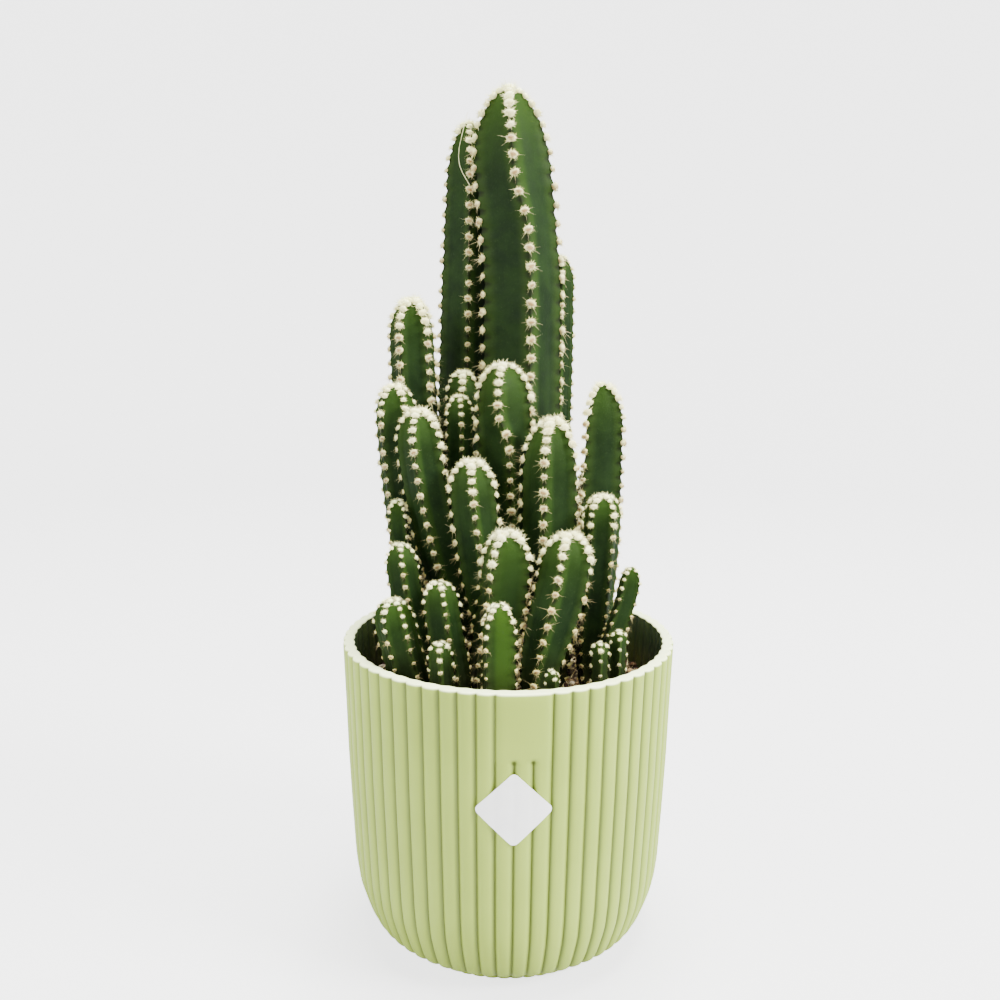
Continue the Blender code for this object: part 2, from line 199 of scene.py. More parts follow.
def make_patches():
    """A group that all the finishes share: soft uneven patches, fine grain and their sum as a height."""
    group = bpy.data.node_groups.new("patches and grain", "ShaderNodeTree")
    for label, value in (("Patch Scale", 60.0), ("Grain Scale", 1500.0)):
        group.interface.new_socket(label, in_out="INPUT", socket_type="NodeSocketFloat").default_value = value
    for label in ("Patches", "Grain", "Height"):
        group.interface.new_socket(label, in_out="OUTPUT", socket_type="NodeSocketFloat")
    start, end = group.nodes.new("NodeGroupInput"), group.nodes.new("NodeGroupOutput")
    place = group.nodes.new("ShaderNodeTexCoord")
    patches = add(group, "ShaderNodeTexNoise", Detail=3.0, Roughness=0.55)
    grain = add(group, "ShaderNodeTexNoise", Detail=2.0, Roughness=0.6)
    total = add(group, "ShaderNodeMath", {"operation": "MULTIPLY_ADD"})
    total.inputs[1].default_value = 0.35
    for texture, label in ((patches, "Patch Scale"), (grain, "Grain Scale")):
        group.links.new(place.outputs["Object"], texture.inputs["Vector"])
        group.links.new(start.outputs[label], texture.inputs["Scale"])
    group.links.new(patches.outputs[0], total.inputs[0])
    group.links.new(grain.outputs[0], total.inputs[2])
    group.links.new(patches.outputs[0], end.inputs["Patches"])
    group.links.new(grain.outputs[0], end.inputs["Grain"])
    group.links.new(total.outputs[0], end.inputs["Height"])
    return group


PATCHES = make_patches()


def place_patches(tree, patch_scale, grain_scale):
    """The outputs of the shared group, with its scales for this finish."""
    group = tree.nodes.new("ShaderNodeGroup")
    group.node_tree = PATCHES
    group.inputs["Patch Scale"].default_value = patch_scale
    group.inputs["Grain Scale"].default_value = grain_scale
    return group.outputs


def add_bump(tree, shader, height, depth, strength=1.0):
    """Raises the surface by a height socket times depth, in metres."""
    bump = add(tree, "ShaderNodeBump", Strength=strength, Distance=depth)
    tree.links.new(height, bump.inputs["Height"])
    tree.links.new(bump.outputs[0], shader.inputs["Normal"])


def height_of_point(tree):
    """The point's height above the pot's underside, in metres."""
    place = tree.nodes.new("ShaderNodeTexCoord")
    split = tree.nodes.new("ShaderNodeSeparateXYZ")
    tree.links.new(place.outputs["Object"], split.inputs[0])
    return split.outputs["Z"]


def painted(tree, label):
    """The value of a mesh attribute."""
    return add(tree, "ShaderNodeAttribute", {"attribute_name": label}).outputs["Fac"]


def rib_dip(across, power):
    """How far a convex rib falls from its top, 0 in its middle (across 0) and 1 in the groove (across 1)."""
    return 1.0 - math.sqrt(max(1.0 - min(across, 0.995) ** power, 0.0))


def groove_cut(angle, height):
    """How deep the outside lies under the ribs' tops."""
    place = (angle - FIRST_GROOVE) / RIB_PITCH % POT_RIBS
    plain = rib_dip(abs(2.0 * (place % 1.0) - 1.0), RIB_ROUNDNESS)
    if place >= PANEL_RIBS:
        return GROOVE_DEPTH * plain
    panel = rib_dip(abs(2.0 * place / PANEL_RIBS - 1.0), PANEL_SQUARENESS)
    ribbed = ease(PANEL_FOOT - height, -0.5, 0.9)
    cut = GROOVE_DEPTH * (plain * ribbed + panel * (1.0 - ribbed))
    aside = math.radians(abs(place - round(place)) * RIB_PITCH) * RIM_RADIUS
    if round(place) in range(1, PANEL_RIBS):
        cut += PIT_DEPTH * math.exp(-((aside / PIT_SIZE) ** 2) - ((height - PANEL_FOOT) / (0.8 * PIT_SIZE)) ** 2)
    return cut


def ribbed_share(point, radius):
    """1 on the outside of the wall, fading over the rim's band, and 0 on the lining and inside the foot."""
    if point.z < FOOT_TOP:
        return ease(radius, *FOOT_FADE)
    if point.z > RIM_HEIGHT - 0.7:
        return ease(radius, *RIM_FADE)
    return 1.0 if radius > float(np.interp(point.z, LINING_HEIGHTS, LINING_RADII)) + 1.0 else 0.0


def pot_profile():
    """Height and radius from the middle of the underside, round the wall and the rim, to the floor inside."""
    rim = RIM_RADIUS - RIM_EDGE
    lip = [(RIM_HEIGHT - 0.16, rim + 0.4), (RIM_HEIGHT, rim), (RIM_HEIGHT, rim - 0.5), (RIM_HEIGHT, rim - 1.1)]
    lip += [(RIM_HEIGHT, rim - 1.8), (RIM_HEIGHT, RIM_INNER_RADIUS + 0.4)]
    lip += [(RIM_HEIGHT - 0.15, RIM_INNER_RADIUS + 0.1), (RIM_HEIGHT - 0.5, RIM_INNER_RADIUS)]
    lip += [(94.0, 50.95), (88.0, 50.65)]
    wall = smooth_line(POT_WALL[:2], 3)[:-1]
    wall += smooth_line(((93.7, 54.75), (82.2, 54.4)), 3)[:-1]
    wall += [(82.2 - 0.3 * k, 54.4 - 0.008 * k) for k in range(13)]
    wall += smooth_line(POT_WALL[3:], 3)
    return [(2.4, 0.0), (2.4, 20.0), *FOOT_HOLLOW[::-1], *wall[::-1], *lip, *POT_LINING, (6.8, 20.0), (6.8, 0.0)]


LINING_HEIGHTS = [row[0] for row in POT_LINING][::-1] + [RIM_HEIGHT]
LINING_RADII = [row[1] for row in POT_LINING][::-1] + [RIM_INNER_RADIUS]

pot_mesh = turned(pot_profile(), POT_RIBS * STEPS_PER_RIB)
for vertex in pot_mesh.verts:
    radius = math.hypot(vertex.co.x, vertex.co.y)
    if radius < PLAIN_RADIUS:
        continue
    angle = angle_of(vertex.co)
    shift = -ribbed_share(vertex.co, radius) * groove_cut(angle, vertex.co.z) * ease(vertex.co.z, *DEPTH_FADE)
    if shift == 0.0 and vertex.co.z > LINING_FOOT:
        shift = LINING_RIPPLE * math.cos(math.radians(angle - FIRST_GROOVE) * POT_RIBS)
    vertex.co.x, vertex.co.y = toward(angle, radius + shift)

pot_plastic, tree, shader = new_material("pale green plastic", 0.42)
marks = place_patches(tree, 28.0, 2600.0)
body = colour_mix(tree, bend_range(tree, marks["Patches"], 0.3, 0.7), (0.285, 0.385, 0.040), (0.32, 0.43, 0.050))
# Painted shade: the grooves, and the pits at the panel's foot, are painted a darker green where less light reaches in
painted_groove_shade = painted(tree, "groove")
body = colour_mix(tree, bend_range(tree, painted_groove_shade, 0.1, 0.65, 0.0, 0.85), body, (0.085, 0.110, 0.022))
# Painted highlight: the flat top of the rim is painted paler, where the light from above falls on it
rim_highlight = bend_range(tree, height_of_point(tree), 0.1006, 0.1014)
body = colour_mix(tree, rim_highlight, body, (0.78, 0.86, 0.46))
# Painted shade: the inner wall is painted dark, and near the soil a real brown soil stain lies over it
shaded = colour_mix(tree, 0.96, body, (0.018, 0.036, 0.022))
near_soil = bend_range(tree, height_of_point(tree), 0.083, 0.094, 0.7, 0.0)
shade_and_soil_stain = colour_mix(tree, near_soil, shaded, (0.038, 0.034, 0.018))
inside_shade_and_stain = add(tree, "ShaderNodeMath", {"operation": "MULTIPLY"})
tree.links.new(painted(tree, "lining"), inside_shade_and_stain.inputs[0])
tree.links.new(bend_range(tree, marks["Patches"], 0.35, 0.62, 0.85, 1.0), inside_shade_and_stain.inputs[1])
tree.links.new(colour_mix(tree, inside_shade_and_stain.outputs[0], body, shade_and_soil_stain), shader.inputs["Base Color"])
tree.links.new(bend_range(tree, marks["Grain"], 0.3, 0.7, 0.36, 0.48), shader.inputs["Roughness"])
shader.inputs["Subsurface Weight"].default_value = 0.06
shader.inputs["Subsurface Radius"].default_value = (0.004, 0.004, 0.002)
add_bump(tree, shader, marks["Grain"], 0.00003, 0.35)

# groove is how deep a point lies in its groove, which the finish paints darker as painted shade; lining marks the
# inner wall
lining = pot_mesh.verts.layers.float.new("lining")
groove = pot_mesh.verts.layers.float.new("groove")
for vertex in pot_mesh.verts:
    radius = math.hypot(vertex.co.x, vertex.co.y)
    if vertex.co.z < RIM_HEIGHT - 0.3:
        vertex[groove] = min(groove_cut(angle_of(vertex.co), vertex.co.z) / GROOVE_DEPTH, 1.0)
    wall_middle = float(np.interp(vertex.co.z, LINING_HEIGHTS, LINING_RADII)) + 0.7
    vertex[lining] = 1.0 if radius < wall_middle and LINING_FOOT < vertex.co.z < RIM_HEIGHT - 0.2 else 0.0
pot = finish(pot_mesh, "ribbed_pot", [pot_plastic], 50)
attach(pot, "root")
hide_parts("pot")

# The sticker
# A square of glossy white paper with rounded corners, stuck on its corner across the ribs under the panel.
# It is thin, lies on the tops of the ribs and sags a little over the grooves.
STICKER_SIDE = 17.0
STICKER_CORNER = 1.7
STICKER_CELLS = 26
STICKER_HEIGHT = 65.6
STICKER_TURN = 2.1
STICKER_LIFT = 0.22
STICKER_SAG = 0.16
STICKER_THICKNESS = 0.14

WALL_HEIGHTS = [row[0] for row in POT_WALL][::-1]
WALL_RADII = [row[1] for row in POT_WALL][::-1]


def round_corner(a, b, half, corner):
    """Pulls a point of a square's corner zone onto rounded lines."""
    straight = half - corner
    over_a, over_b = abs(a) - straight, abs(b) - straight
    if over_a <= 0.0 or over_b <= 0.0:
        return a, b
    shrink = max(over_a, over_b) / math.hypot(over_a, over_b)
    return math.copysign(straight + over_a * shrink, a), math.copysign(straight + over_b * shrink, b)


sticker_mesh = bmesh.new()
bmesh.ops.create_grid(sticker_mesh, x_segments=STICKER_CELLS, y_segments=STICKER_CELLS, size=STICKER_SIDE / 2)
for vertex in sticker_mesh.verts:
    a, b = round_corner(vertex.co.x, vertex.co.y, STICKER_SIDE / 2, STICKER_CORNER)
    across, up = (a - b) / math.sqrt(2), (a + b) / math.sqrt(2)
    height = STICKER_HEIGHT + up
    radius = float(np.interp(height, WALL_HEIGHTS, WALL_RADII)) + STICKER_LIFT
    angle = STICKER_TURN + math.degrees(across / radius)
    radius -= STICKER_SAG * groove_cut(angle, STICKER_HEIGHT) / GROOVE_DEPTH
    vertex.co = (*toward(angle, radius), height)
bmesh.ops.recalc_face_normals(sticker_mesh, faces=sticker_mesh.faces)
bmesh.ops.solidify(sticker_mesh, geom=sticker_mesh.faces, thickness=STICKER_THICKNESS)
bmesh.ops.recalc_face_normals(sticker_mesh, faces=sticker_mesh.faces)

sticker_paper, tree, shader = new_material("white sticker paper", 0.35)
marks = place_patches(tree, 220.0, 5200.0)
tone = colour_mix(tree, bend_range(tree, marks["Patches"], 0.35, 0.65), (0.97, 0.97, 0.95), (0.94, 0.94, 0.92))
tree.links.new(tone, shader.inputs["Base Color"])
tree.links.new(bend_range(tree, marks["Grain"], 0.3, 0.7, 0.3, 0.42), shader.inputs["Roughness"])
add_bump(tree, shader, marks["Height"], 0.00002, 0.4)
sticker = finish(sticker_mesh, "blank_sticker", [sticker_paper], 40)
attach(sticker, "root")
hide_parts("label")

# The stems
# Florida cereus stems are fleshy green columns with three to six thin-edged ribs. Each rib's edge is scalloped,
# with a woolly cushion, the areole, on each bulge. The stems root in the soil and crowd close together.
SOIL_TOP = 84.0
FOOT_DEPTH = 5.0
TWIST_START = 0.77
TWIST_SPAN = 0.09
RING_STEP = 1.2
POINTS_PER_RIB = 8
VALLEY = {3: 0.52, 4: 0.66, 5: 0.72, 6: 0.78}
VALLEY_CURVE = 3.2
EDGE_WIDTH = {3: 0.10, 4: 0.10, 5: 0.12, 6: 0.13}
EDGE_CROWDING = 1.4
CROWN_TOP = 283.4
# The areoles' distance along a rib, plain and for each millimetre of girth, and on the slimmest stems
AREOLE_PITCH = 3.0
AREOLE_PITCH_BY_GIRTH = 0.2
SLIM_GIRTH = 4.1
SLIM_PITCH = 4.8
FIRST_AREOLE = 0.25
CROWN_CROWDING = 0.4
CROWDING_REACH = 2.2
MEASURING_STEP = 0.04
# Shares of the way from an areole to the next one below between which the edge steps in
SCALLOP_STEP = (0.06, 0.38)
NOTCH_DEPTH = 0.30
NOTCH_BY_GIRTH = 0.06
NOTCH_MOST = 0.95
TAPER_REACH = 4.5
YOUNG_REACH = 2.2
RIPPLE_SCALE = 0.09
RIPPLE_DEPTH = 0.022
# Painted light: the side of each stem toward this angle, where the key light falls, is painted paler and yellower
SUN_ANGLE = 35.0
# Painted highlight: a paler stripe to the right of each rib's edge on the side toward the light
STRIPE_TONE = 0.3
STRIPE_PLACE = 0.3
STRIPE_WIDTH = 0.25


class Stem:
    """A stem's middle, girth and ribs, in millimetres and degrees. share is 0 at the soil and 1 at the tip.

    foot and tip are where its middle leaves the soil and ends; girth is its radius over the ribs; turn is the
    first rib's angle; dome is the tip's length in girths; reach is how far down from the tip it leans; taper
    narrows the top; twist turns the ribs near the top; base is the girth at the soil as a share, and neck the
    share of the height over which it swells from that; tone is how much paler and yellower its side toward the
    light is painted, as painted light, from 0.5, and wool the size of its tufts.
    """

    def __init__(self, foot, tip, height, girth, ribs, turn, dome=1.8, reach=1.0, taper=0.1, twist=0.0,
                 base=0.6, neck=0.32, tone=0.5, wool=1.0):
        self.foot, self.tip, self.height = foot, tip, height
        self.girth, self.ribs, self.turn = girth, ribs, turn
        self.dome, self.reach, self.taper, self.twist = dome, reach, taper, twist
        self.base, self.neck, self.tone, self.wool = base, neck, tone, wool
        self.length = height - SOIL_TOP

    def middle(self, share):
        lean = min(max((1.0 - share) / self.reach, 0.0), 1.0)
        back = lean * lean * (3.0 - 2.0 * lean)
        x = self.tip[0] + (self.foot[0] - self.tip[0]) * back
        y = self.tip[1] + (self.foot[1] - self.tip[1]) * back
        return Vector((x, y, SOIL_TOP + self.length * share))

    def rib_turn(self, share):
        return self.turn + self.twist * ease(share, TWIST_START, TWIST_START + TWIST_SPAN)

    def radius(self, share):
        below_tip = self.length * (1.0 - share)
        dome = min(max(below_tip / (self.dome * self.girth), 0.0), 1.0)
        rounding = math.sqrt(max(1.0 - (1.0 - dome) ** 2, 0.0))
        narrowing = 1.0 - self.taper * math.exp(-below_tip / (TAPER_REACH * self.girth))
        swelling = math.sin(min(max(share, 0.0) / self.neck, 1.0) * math.pi / 2)
        return self.girth * rounding * narrowing * (self.base + (1.0 - self.base) * swelling)

    def rib_edge(self, below_tip):
        """The rib edge's distance from the stem's middle line and below the tip, for measuring along it."""
        return Vector((self.radius(1.0 - below_tip / self.length), below_tip))

    def areole_levels(self):
        """Distances of the areoles below the tip: crowded in the crown, then farther apart down the stem."""
        pitch = AREOLE_PITCH + AREOLE_PITCH_BY_GIRTH * self.girth if self.girth > SLIM_GIRTH else SLIM_PITCH
        below_tip, levels, along = FIRST_AREOLE, [FIRST_AREOLE], 0.2 * self.girth
        while below_tip < self.length:
            step = pitch * (CROWN_CROWDING + (1.0 - CROWN_CROWDING) * min(along / (CROWDING_REACH * self.girth), 1.0))
            last = self.rib_edge(below_tip)
            while (self.rib_edge(below_tip) - last).length < step and below_tip < self.length:
                below_tip += MEASURING_STEP
            along += step
            levels.append(below_tip)
        return levels

    def areole_level(self, number, rib):
        """Every other rib has its areoles half a step lower."""
        return float(np.interp(number + 0.5 * (rib % 2), range(len(self.levels)), self.levels))

    def scallop(self, below_tip, rib):
        """0 at an areole, then a quick step in to 1 below it and a slow swell back out to the next one."""
        step = (float(np.interp(below_tip, self.levels, range(len(self.levels)))) - 0.5 * (rib % 2)) % 1.0
        return ease(step, *SCALLOP_STEP) * (1.0 - ease(step, SCALLOP_STEP[1], 1.0))

    def rib_shape(self, around):
        """The share of the radius between a rib's blunt edge (around 0) and the hollow valley (around 1)."""
        valley = VALLEY[self.ribs]
        flank = valley + (1.0 - valley) * (1.0 - around) ** VALLEY_CURVE
        edge = EDGE_WIDTH[self.ribs]
        centre = 1.0 - edge
        turned_by = around * math.pi / self.ribs
        under = edge * edge - (centre * math.sin(turned_by)) ** 2
        blunt = centre * math.cos(turned_by) + math.sqrt(under) if under > 0.0 else 0.0
        return max(flank, blunt)

    def surface(self, share, around_full):
        """The point of the skin at this share and this angle past the first rib's edge, with its edge share."""
        pitch = 360.0 / self.ribs
        rib = round(around_full / pitch)
        around = min(abs(around_full - rib * pitch) / (pitch / 2), 1.0)
        below_tip = self.length * (1.0 - share)
        radius = self.radius(share)
        notch = min(NOTCH_DEPTH + NOTCH_BY_GIRTH * self.girth, NOTCH_MOST)
        notch *= (1.0 - around) ** 3 * ease(below_tip, 0.5, 4.0)
        shape = radius * self.rib_shape(around) - notch * self.scallop(below_tip, rib % self.ribs)
        middle = self.middle(share)
        x, y = toward(self.rib_turn(share) + around_full, max(shape, 0.02))
        return Vector((middle.x + x, middle.y + y, middle.z)), 1.0 - around


STEMS = {
    "stem_tallest": Stem(
        (4.2, 25), (-0.9, 27), 280.5, 14.5, 4, 11, 1.75, reach=0.35, taper=0.12, twist=-11, wool=0.88
    ),
    "stem_tall_left": Stem((-16.5, 35), (-14.5, 36.5), 271.5, 10.8, 4, 4, 1.7, reach=0.8, taper=0.35, wool=0.88),
    "stem_tall_slim": Stem((15.5, 37), (17, 38), 227.5, 6.1, 5, 10, 1.6),
    "stem_left_rear": Stem((-27.6, 19.4), (-33.4, 20), 212, 8.8, 5, -27, 1.45, wool=1.15),
    "stem_left_outer": Stem((-29.3, 4.2), (-37.5, 3), 184.5, 7.8, 5, -36, 1.35),
    "stem_left_leaning": Stem((-14.7, -2), (-28.5, -9), 177.5, 8.5, 5, -14, 1.3, base=0.5, neck=0.6),
    "stem_inner_left": Stem((-13, 18.5), (-16, 20), 188, 6.5, 5, 0, 1.4, base=0.55),
    "stem_inner_slim": Stem((-15.5, 7.6), (-16.6, 6.6), 181, 5.2, 5, 10, 1.4, base=0.55, neck=0.5),
    "stem_middle": Stem((1.5, 3), (-2, 2.5), 191.5, 10, 4, 8, 1.3, twist=-20, base=0.55),
    "stem_right_middle": Stem((13.4, -6.8), (13.4, -9), 175, 10.4, 5, -16, 1.7),
    "stem_three_ribbed": Stem((28.2, 7), (30.4, 8), 185, 8.8, 3, -46, 1.6, taper=0.15, base=0.5, neck=0.7, wool=1.2),
    "stem_front_leaning": Stem((-3, -10), (-11.8, -14.5), 162.5, 8.4, 5, 2, 1.25, base=0.55, neck=0.62),
    "stem_front_middle": Stem((-5.8, -23.8), (-0.3, -26.5), 142.5, 9.2, 4, -31, 1.35, taper=0.05, tone=0.6),
    "stem_front_right": Stem((8.1, -32), (18.3, -27.2), 142, 8.9, 5, -16, 1.1, taper=0.05, base=0.32, neck=0.65),
    "stem_right_front": Stem((27.4, -11.2), (29.7, -13.5), 151.5, 6.5, 5, 31, 1.1, reach=0.8, taper=0.05),
    "stem_right_slim": Stem((31.2, -21.5), (38.3, -20), 130, 4.2, 4, -40, 1.4, reach=0.75, taper=0.05),
    "stem_left_low": Stem((-26.2, -16.2), (-34, -17.5), 136.5, 5.7, 5, 8, 1.3, taper=0.05, wool=0.85),
    "stem_left_slim": Stem((-29.3, -7.2), (-35.8, -8.6), 148.5, 4.25, 4, -45, 1.5, taper=0.05),
    "stem_left_edge": Stem((-29.5, -27.5), (-35.5, -28), 121.5, 6.5, 6, -24, 1.2, taper=0, wool=0.85),
    "stem_front_low": Stem((-16, -28.2), (-21, -29.5), 127.5, 6, 5, 16, 1.15, taper=0, wool=0.85),
    "stem_front_lowest": Stem((-2.6, -41), (-2.6, -41), 124, 6.5, 4, -37, 1.7, taper=0, tone=1.0, wool=0.8),
    "sprout_left": Stem((-19, -39), (-20.2, -39), 111.5, 4, 5, 0, 1.2, taper=0),
    "sprout_right": Stem((28, -32), (28, -32), 109.5, 2.8, 4, 0, 1.2, taper=0, wool=1.3),
    "sprout_right_outer": Stem((33.9, -27.8), (34.2, -27.8), 111.8, 2.6, 4, 0, 1.2, taper=0, wool=1.3),
    "sprout_front": Stem((14.5, -42.5), (13, -42.7), 104.3, 2.4, 4, 20, 1.2, taper=0, wool=1.1),
    "stem_rear_right": Stem((31, 22), (33, 24), 172, 6, 4, 40, 2),
    "stem_rear_middle": Stem((-1, 44.5), (-0.5, 45.5), 196, 4.3, 5, 10, 2),
    "stem_rear_left": Stem((-29.3, 31), (-32, 32.5), 175, 4.5, 4, 50, 2),
    "stem_rear_outer": Stem((26.5, 33), (29, 34.5), 154, 5.2, 5, 30, 2),
    "stem_inner_right": Stem((18, 10), (18.5, 10), 160, 5.6, 4, 30, 2),
    "stem_rear_low": Stem((8, 44), (9.5, 45.5), 134, 3.6, 4, 0, 2),
    "stem_rear_edge": Stem((-37, 23), (-40.5, 26), 140, 3.5, 4, 60, 2),
    "sprout_right_rear": Stem((38, 17), (41, 19), 116, 3.2, 4, 60, 2),
}
for stem in STEMS.values():
    stem.levels = stem.areole_levels()


def ring_shares(stem):
    """The shares at which the skin has a ring of points, closer together on the dome."""
    below_tip, shares = 0.08, []
    dome = stem.dome * stem.girth
    while below_tip < stem.length:
        shares.append(1.0 - below_tip / stem.length)
        below_tip += RING_STEP * (0.25 + 0.75 * min(below_tip / (0.6 * dome), 1.0))
    return [-FOOT_DEPTH / stem.length, 0.0, *shares[::-1]]


def crowd_to_edge(stem, around):
    """Moves an evenly spaced angle toward the nearest rib's edge, so that the thin edges get more points."""
    half = 180.0 / stem.ribs
    middle = round(around / (2.0 * half)) * 2.0 * half
    aside = (around - middle) / half
    return middle + math.copysign(abs(aside) ** EDGE_CROWDING, aside) * half


def lit_side_share(aside):
    """1 on the front right of a stem, toward the light, where its skin is painted paler as painted light, and 0
    elsewhere.
    """
    return ease(math.cos(math.radians(angle_of(aside) - SUN_ANGLE)), 0.45, 0.85)


def highlight_stripe_share(stem, around):
    """1 in a narrow stripe to the right of each rib's edge, where its flank turns to the light: a painted highlight.
    """
    half = 180.0 / stem.ribs
    aside = (around - round(around / (2.0 * half)) * 2.0 * half) / half
    return math.exp(-(((aside - STRIPE_PLACE) / STRIPE_WIDTH) ** 2))


def stem_skin(stem):
    """A tube of unit radius, spun with a ring for each share, then drawn onto the stem's ribbed skin."""
    shares = ring_shares(stem)
    steps = stem.ribs * POINTS_PER_RIB
    bm = turned([(share, 1.0) for share in shares], steps)
    top = [edge for edge in bm.edges if edge.is_boundary and edge.verts[0].co.z > 0.5]
    bottom = [edge for edge in bm.edges if edge.is_boundary and edge.verts[0].co.z < 0.5]
    cap = bmesh.ops.holes_fill(bm, edges=top, sides=0)["faces"]
    bmesh.ops.holes_fill(bm, edges=bottom, sides=0)
    bmesh.ops.poke(bm, faces=cap)
    edge_layer = bm.verts.layers.float.new("edge")
    young_layer = bm.verts.layers.float.new("young")
    lit_tone_layer = bm.verts.layers.float.new("tone")
    bm.verts.layers.float.new("age")
    bm.verts.layers.float.new("core")
    notch_shade_layer = bm.verts.layers.float.new("hollow")
    for vertex in bm.verts:
        share = vertex.co.z
        if math.hypot(vertex.co.x, vertex.co.y) < 0.5:
            vertex.co = stem.middle(1.0)
            edge, around = 1.0, 0.0
        else:
            around = crowd_to_edge(stem, angle_of(vertex.co) % 360.0)
            point, edge = stem.surface(share, around)
            ripple = noise.noise(point * RIPPLE_SCALE) * RIPPLE_DEPTH * stem.radius(share)
            vertex.co = point + (point - stem.middle(share)) * (ripple / max(stem.girth, 1.0))
        vertex[edge_layer] = edge
        rib = round(around * stem.ribs / 360.0) % stem.ribs
        # Painted shadow: the notch under each areole on a rib's edge is marked, and the skin finish paints it dark
        vertex[notch_shade_layer] = ease(edge, 0.72, 0.95) * stem.scallop(stem.length * (1.0 - share), rib)
        vertex[young_layer] = math.exp(-stem.length * (1.0 - share) / (YOUNG_REACH * stem.girth))
        # Painted light: tone rises on the side toward the light, and more in a highlight stripe beside each rib's
        # edge
        sunny = lit_side_share(vertex.co - stem.middle(share))
        vertex[lit_tone_layer] = 0.5 + (stem.tone - 0.5 + STRIPE_TONE * highlight_stripe_share(stem, around)) * sunny
    bmesh.ops.recalc_face_normals(bm, faces=bm.faces)
    return bm


# The areoles
# Each areole is a cushion of short cream wool with stiff bristles all round it, brownish in the middle, from
# which straw-coloured spines spread sideways and down. In the crown the wool is white and dense.
CUSHION_SIZE = 1.6
CUSHION_SHAPE = (0.7, 1.05, 0.7)
BRISTLE_RADIUS = 0.1
SPINE_RADIUS = 0.05
TUFT_KINDS = 6
DROOP = 0.5
GOLDEN_ANGLE = 137.5
TUFT_SIZE = 0.12
TUFT_SIZE_BY_GIRTH = 0.07
# How far the crown's wool and the young wool reach below the tip, in girths, and about where the old wool starts
CROWN_REACH = 0.28
YOUNG_WOOL_REACH = 0.9
OLD_TOP = 128.0
OLD_SPREAD = 14.0
SPROUT_TOP = 115.0
# The age of the wool, then how many bristles and spines there are, each with its length
TUFT_AGES = {
    "crown": (0.0, 36, 2.0, 0, 0.0),
    "young": (0.2, 34, 1.3, 3, 3.0),
    "middle": (0.45, 34, 0.95, 6, 4.2),
    "old": (0.9, 28, 0.75, 7, 4.8),
}
SPINE_TURNS = (180.0, 140.0, -145.0, 100.0, -95.0, 165.0, -60.0, -170.0)
# An areole farther than this from the pot's axis has no room for spines, inside the wall and above the rim
WALL_REACH = 46.0
BARE_REACH = 50.2
tuft_draw = random.Random(5)


def cone_along(bm, root, direction, length, thick, slot_number, tip_share=0.0):
    """A closed three-sided needle from root along direction."""
    turn = Vector((0.0, 0.0, 1.0)).rotation_difference(direction).to_matrix().to_4x4()
    place = Matrix.Translation(root + direction * length / 2) @ turn
    made = bmesh.ops.create_cone(
        bm, cap_ends=True, segments=3, radius1=thick, radius2=thick * tip_share, depth=length, matrix=place
    )
    for face in {face for vertex in made["verts"] for face in vertex.link_faces}:
        face.material_index = slot_number


def fan_direction(tilt, turn):
    """A direction tilted away from the tuft's +Z, and turned from up the stem (+X), both in degrees."""
    tilt, turn = math.radians(tilt), math.radians(turn)
    return Vector((math.sin(tilt) * math.cos(turn), math.sin(tilt) * math.sin(turn), math.cos(tilt)))


def make_tuft(name, age, bristles, bristle_length, spines, spine_length, spiny=True):
    """One areole standing on its local +Z, with +X up the stem. Slot 1 is wool and slot 2 is spine."""
    bm = bmesh.new()
    age_layer = bm.verts.layers.float.new("age")
    core_layer = bm.verts.layers.float.new("core")
    size = CUSHION_SIZE * (1.05 - 0.2 * age)
    bmesh.ops.create_uvsphere(bm, u_segments=7, v_segments=5, radius=size)
    for vertex in bm.verts:
        rough = tuft_draw.uniform(0.85, 1.12)
        # The brown middle sits toward the lower side, down the stem: a real brown middle, placed there to also stand
        # for the shade under the cushion as painted shade
        below = math.hypot(vertex.co.x + 0.3 * size, vertex.co.y) / size
        vertex[core_layer] = 1.0 - ease(below, 0.5, 1.1)
        vertex.co = vertex.co * Vector(CUSHION_SHAPE) * rough
    for face in bm.faces:
        face.material_index = 1
    for number in range(bristles):
        tilt = 12.0 + 18.0 * min(age * 2.0, 1.0)
        tilt += (95.0 - tilt) * math.sqrt((number + 0.5) / bristles)
        direction = fan_direction(tilt + tuft_draw.uniform(-8, 8), GOLDEN_ANGLE * number + tuft_draw.uniform(-20, 20))
        if number % 2:
            direction = (direction - Vector((DROOP * age, 0.0, 0.0))).normalized()
        root = Vector((direction.x, direction.y, direction.z * 0.8)) * size * 0.72
        length = bristle_length * tuft_draw.uniform(0.5, 1.1) * (1.0 + 0.25 * abs(direction.y))
        cone_along(bm, root, direction, length, BRISTLE_RADIUS, 1)
    for number in range(spines if spiny else 0):
        tilt = 25.0 if number == 0 else tuft_draw.uniform(50, 82)
        direction = fan_direction(tilt, SPINE_TURNS[number] + tuft_draw.uniform(-18, 18))
        length = spine_length * tuft_draw.uniform(0.6, 1.05)
        cone_along(bm, direction * 0.5, direction, length, SPINE_RADIUS, 2)
    for vertex in bm.verts:
        vertex[age_layer] = age
    bmesh.ops.recalc_face_normals(bm, faces=bm.faces)
    mesh = bpy.data.meshes.new(name)
    bm.to_mesh(mesh)
    bm.free()
    return mesh


TUFTS = {
    (kind, spiny): [make_tuft(f"{kind}_tuft", *facts, spiny) for _ in range(TUFT_KINDS)]
    for kind, facts in TUFT_AGES.items()
    for spiny in (True, False)
}


